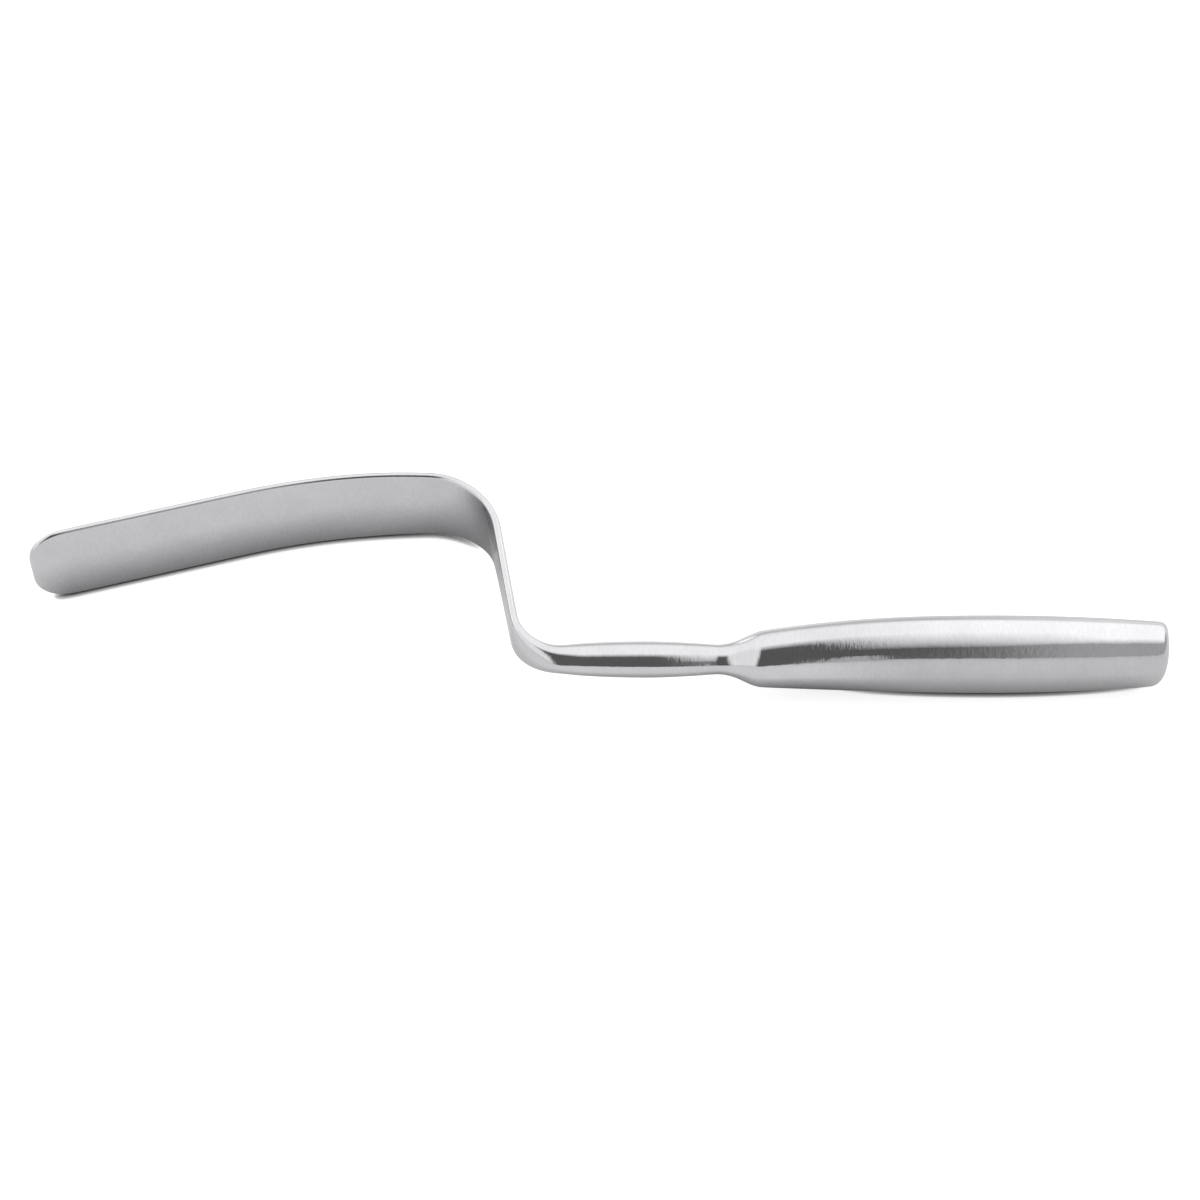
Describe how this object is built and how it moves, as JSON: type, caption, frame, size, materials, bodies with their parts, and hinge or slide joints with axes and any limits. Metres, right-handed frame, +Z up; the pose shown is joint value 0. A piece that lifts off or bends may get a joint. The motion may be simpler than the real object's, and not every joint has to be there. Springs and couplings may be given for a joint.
{
  "type": "handheld surgical retractor",
  "caption": "Deep hand retractor in polished steel: a smooth oval grip, a slim round shank, a Z bend and a long flat blade with a rounded end, for holding tissue aside.",
  "frame": {"origin": "middle of the grip, halfway along it and on its axis; the table is half the grip's width below", "axes": "+X along the grip towards its free end, +Y towards the side that the blade is on, +Z up from the table, square to the plane of the Z bend"},
  "size_m": [0.3202, 0.0689, 0.0256],
  "materials": {
    "polished_steel": "polished"
  },
  "bodies": {
    "root": {"retractor": "polished_steel"}
  },
  "joints": []
}
